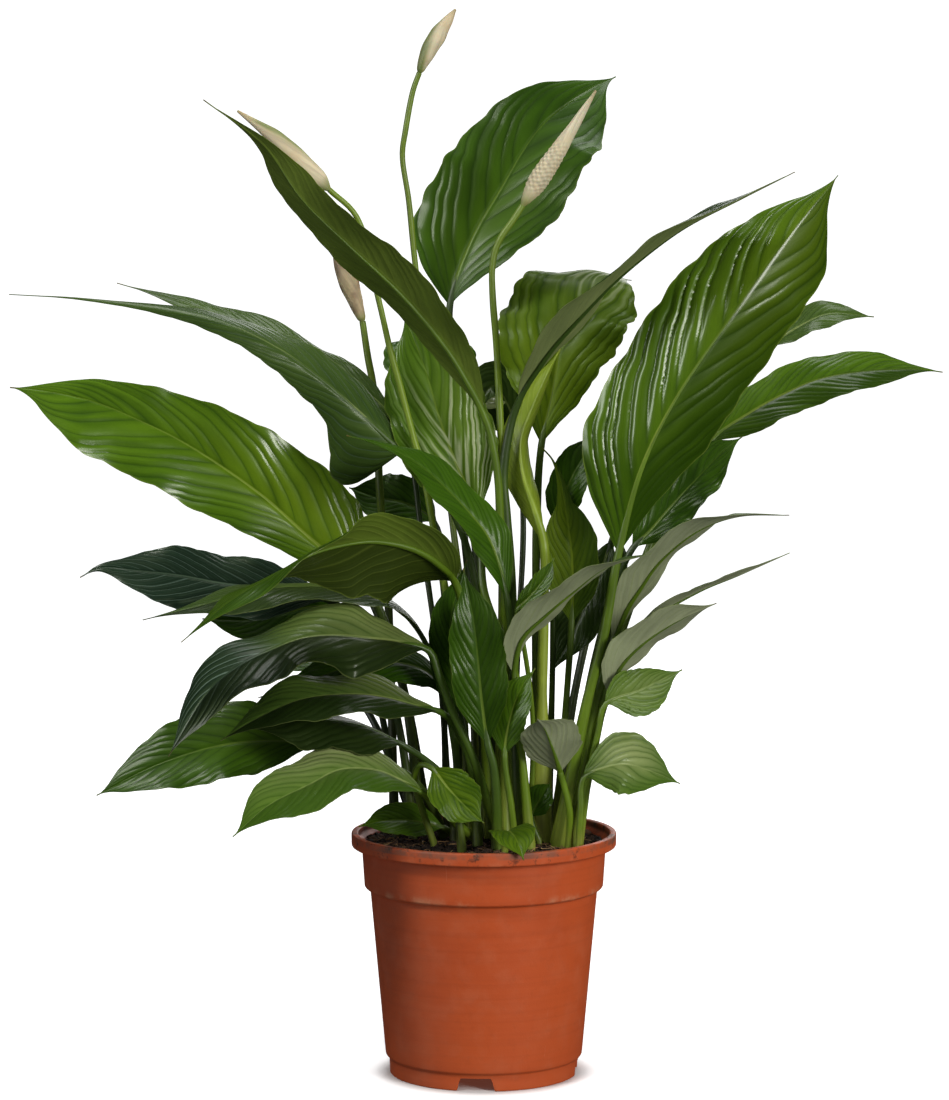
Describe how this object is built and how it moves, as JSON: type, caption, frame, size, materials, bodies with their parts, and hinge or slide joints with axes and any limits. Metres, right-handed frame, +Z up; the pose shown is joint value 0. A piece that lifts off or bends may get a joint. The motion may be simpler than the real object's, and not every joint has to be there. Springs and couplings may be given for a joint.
{
  "type": "potted peace lily",
  "caption": "Bushy potted foliage plant with broad, arching, pointed leaves and furled cream flower spathes on tall stalks, in a round tapered plastic nursery pot filled with peat.",
  "frame": {"origin": "on the pot's axis at the height of its foot, which is within a few millimetres of the middle of the bounding box's base", "axes": "+Z up, +Y away from the front of the plant, +X to the right of someone who looks at its front"},
  "size_m": [0.6007, 0.3037, 0.6804],
  "materials": {
    "pot_plastic": "satin moulded plastic",
    "peat": "loose dark peat with pale fibres",
    "leaf": "waxy, ribbed leaf",
    "leaf_dark": "waxy, ribbed leaf in a darker green",
    "flower_stalk": "smooth stalk",
    "spathe": "matt, fine-grained petal"
  },
  "bodies": {
    "root": {"pot": "pot_plastic", "soil": "peat", "leaf_top_broad": "leaf", "leaf_right_broad": "leaf", "leaf_right_arch": "leaf", "leaf_back_broad": "leaf", "leaf_left_dark_diagonal": "leaf_dark", "leaf_left_long": "leaf", "leaf_left_long_behind": "leaf", "leaf_left_broad": "leaf", "leaf_left_front_arch": "leaf_dark", "leaf_left_low_arch": "leaf", "leaf_left_under": "leaf", "leaf_left_twisted": "leaf_dark", "leaf_left_lower": "leaf", "leaf_left_lower_dark": "leaf_dark", "leaf_low_left_broad": "leaf", "leaf_low_left_arch": "leaf", "leaf_low_left_front": "leaf", "leaf_small_turned_down": "leaf", "leaf_small_left_rim": "leaf", "leaf_small_over_rim": "leaf", "leaf_small_shaded": "leaf", "leaf_small_folded": "leaf", "leaf_centre_upright": "leaf", "leaf_centre_dark": "leaf_dark", "leaf_centre_short": "leaf", "leaf_centre_arch": "leaf", "leaf_centre_narrow": "leaf", "leaf_unrolling": "leaf", "leaf_centre_glossy": "leaf", "leaf_centre_left_strap": "leaf", "leaf_behind_right_small": "leaf", "leaf_olive_upright": "leaf", "leaf_striped_hanging": "leaf_dark", "leaf_right_far": "leaf", "leaf_right_long": "leaf", "leaf_right_wavy": "leaf", "leaf_right_arch_under": "leaf", "leaf_right_edge_on": "leaf", "leaf_right_low_under": "leaf", "leaf_right_small_upper": "leaf", "leaf_right_small_lower": "leaf", "leaf_left_bluish": "leaf_dark", "leaf_shade_upright": "leaf_dark", "leaf_shade_striped": "leaf_dark", "leaf_shade_level": "leaf_dark", "leaf_back_left": "leaf", "leaf_back_high": "leaf", "leaf_back_right": "leaf", "leaf_back_low": "leaf", "leaf_back_low_left": "leaf", "flower_stalk_top": "flower_stalk", "flower_stalk_left": "flower_stalk", "flower_stalk_left_low": "flower_stalk", "flower_stalk_right": "flower_stalk", "spathe_top": "spathe", "spathe_left": "spathe", "spathe_left_low": "spathe", "spathe_right": "spathe"}
  },
  "joints": []
}
